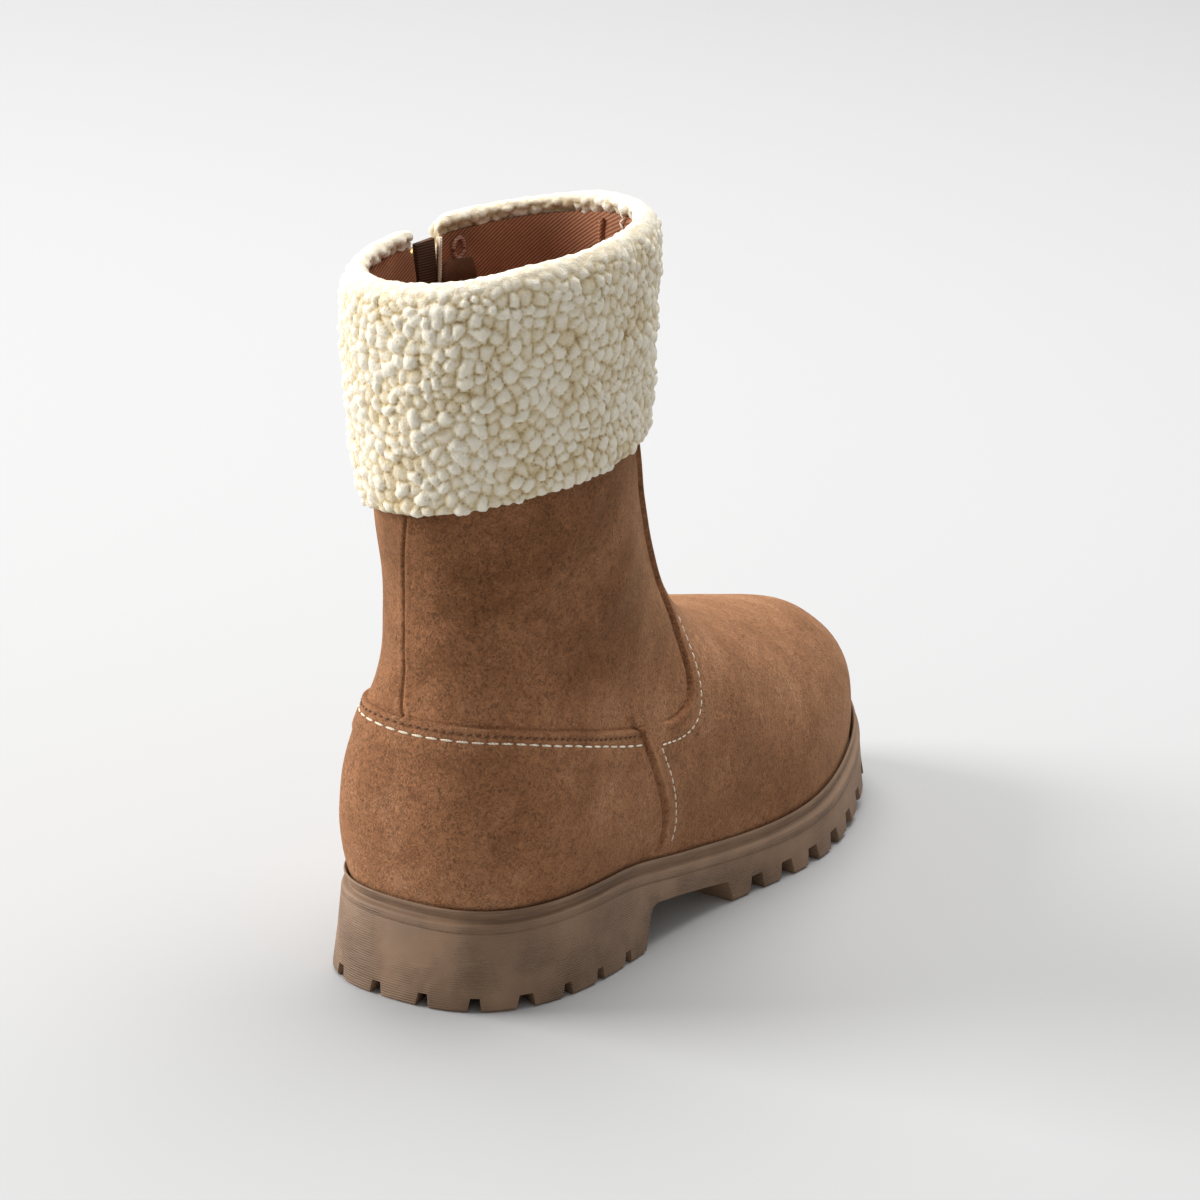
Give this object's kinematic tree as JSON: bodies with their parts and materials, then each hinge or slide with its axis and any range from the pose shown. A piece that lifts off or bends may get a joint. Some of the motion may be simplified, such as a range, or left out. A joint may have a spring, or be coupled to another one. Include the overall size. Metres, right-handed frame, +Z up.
{
  "type": "sheepskin boot",
  "caption": "Right ankle boot with a suede upper, folded sheepskin cuff, inner side zip with a pull tab, stitched-look welt and a lugged heeled sole.",
  "frame": {"origin": "centre of the boot's bounding box, on the floor under the sole", "axes": "+X to the boot's outer side, the wearer's right; +Y to the toe; +Z up"},
  "size_m": [0.1082, 0.2792, 0.2512],
  "materials": {
    "sole_rubber": "moulded, matt, faintly ribbed",
    "welt_rubber": "moulded, satin bead",
    "lining_twill": "woven twill",
    "suede": "short napped suede",
    "sheepskin": "curly cream pile",
    "zip_tape": "woven tape with metal teeth",
    "zip_brass": "light antique gold"
  },
  "bodies": {
    "boot": {"outsole": "sole_rubber", "welt": "welt_rubber", "insole": "lining_twill", "upper": "suede", "cuff": "sheepskin", "zip_chain": "zip_tape", "zip_slider": "zip_brass"},
    "pull_tab": {"zip_pull": "zip_brass"}
  },
  "joints": [
    {"name": "pull_tab_swing", "type": "hinge", "parent": "boot", "child": "pull_tab", "pos_m": [-0.04882, -0.06382, 0.22245], "axis": [0.2329, 0.9725, 0], "range_deg": [0, 150]}
  ]
}
